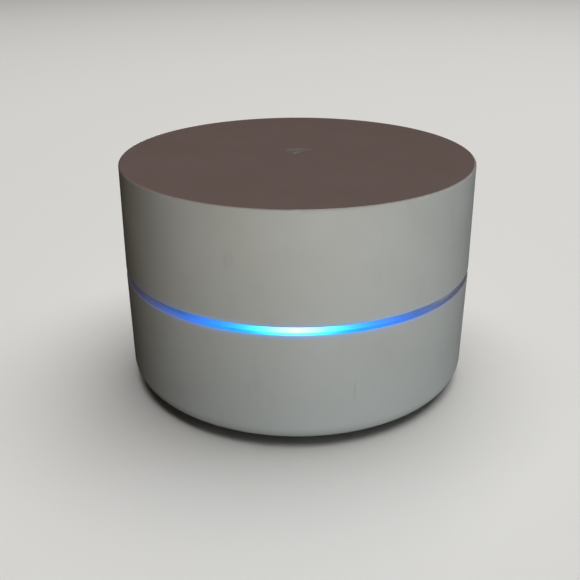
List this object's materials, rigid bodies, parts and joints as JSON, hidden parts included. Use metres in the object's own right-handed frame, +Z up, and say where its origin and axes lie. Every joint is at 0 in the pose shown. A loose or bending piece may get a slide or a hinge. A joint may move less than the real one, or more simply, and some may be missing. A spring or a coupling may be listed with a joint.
{
  "type": "mesh wifi node",
  "caption": "Round white mesh wifi node: flat-topped two-part housing with a blue light band between its halves, and a rear cable bay with network and power ports.",
  "frame": {"origin": "centre of the base, on the surface that the node stands on", "axes": "+Z up, -Y is the front where the light band is brightest, +Y is the rear with the cable mouth and the reset button"},
  "size_m": [0.1062, 0.1062, 0.0688],
  "materials": {
    "housing_plastic": "fine matt moulding",
    "base_plastic": "fine matt moulding",
    "foot_rubber": "matt",
    "light_guide": "clear, smooth",
    "button_plastic": "satin",
    "board_laminate": "satin solder mask",
    "flex_laminate": "smooth film",
    "chip_plastic": "matt",
    "component_ceramic": "matt",
    "capacitor_can": "bright",
    "connector_plastic": "moulded",
    "socket_plastic": "moulded",
    "lamp_plastic": "glossy",
    "heat_sink_metal": "cast, lightly blasted",
    "shield_metal": "tin plated",
    "screw_steel": "zinc plated",
    "contact_gold": "gold plated",
    "antenna_metal": "stamped sheet",
    "carrier_plastic": "moulded",
    "cable_jacket": "smooth",
    "thermal_pad": "soft, matt"
  },
  "bodies": {
    "root": {"upper_shell": "housing_plastic", "lower_shell": "housing_plastic", "base_cover": "base_plastic", "port_bay": "base_plastic", "foot_ring": "foot_rubber", "light_guide_ring": "light_guide", "light_board": "board_laminate", "light_emitters": "lamp_plastic", "light_board_screws": "screw_steel", "light_flex_cable": "flex_laminate", "light_flex_socket": "socket_plastic", "main_board": "board_laminate", "processor_chip": "chip_plastic", "memory_chip": "chip_plastic", "storage_chip": "chip_plastic", "cpu_shield_frame": "shield_metal", "radio_chips": "chip_plastic", "radio_shield_left": "shield_metal", "radio_shield_right": "shield_metal", "processor_thermal_pad": "thermal_pad", "radio_thermal_pads": "thermal_pad", "ethernet_transformers": "chip_plastic", "power_inductors": "chip_plastic", "bulk_capacitors": "capacitor_can", "board_passives": "component_ceramic", "heat_sink": "heat_sink_metal", "base_screws": "screw_steel", "board_screws": "screw_steel", "shell_screws": "screw_steel", "antenna_carrier": "carrier_plastic", "antenna_plugs": "contact_gold", "antenna_sockets": "contact_gold", "usb_c_shell": "shield_metal", "usb_c_tongue": "connector_plastic", "usb_c_contacts": "contact_gold", "usb_c_riser": "connector_plastic", "reset_switch_body": "connector_plastic", "reset_switch_dome": "shield_metal", "reset_switch_cover": "shield_metal", "wan_jack_housing": "connector_plastic", "wan_jack_contacts": "contact_gold", "wan_jack_shield": "shield_metal", "lan_jack_housing": "connector_plastic", "lan_jack_contacts": "contact_gold", "lan_jack_shield": "shield_metal", "antenna_1": "antenna_metal", "antenna_cable_1": "cable_jacket", "antenna_2": "antenna_metal", "antenna_cable_2": "cable_jacket", "antenna_3": "antenna_metal", "antenna_cable_3": "cable_jacket", "antenna_4": "antenna_metal", "antenna_cable_4": "cable_jacket"},
    "reset_button": {"reset_button": "button_plastic"},
    "reset_switch_plunger": {"reset_switch_plunger": "socket_plastic"}
  },
  "joints": [
    {"name": "reset_press", "type": "slide", "parent": "root", "child": "reset_button", "axis": [0, -1, 0], "range_m": [0, 0.0005], "stiffness_N_per_m": 600},
    {"name": "reset_switch_travel", "type": "slide", "parent": "root", "child": "reset_switch_plunger", "axis": [0, -1, 0], "range_m": [0, 0.0005], "deforming": ["reset_switch_dome"]}
  ],
  "couplings": [
    {"joint": "reset_switch_travel", "follows": "reset_press", "ratio": 1}
  ]
}
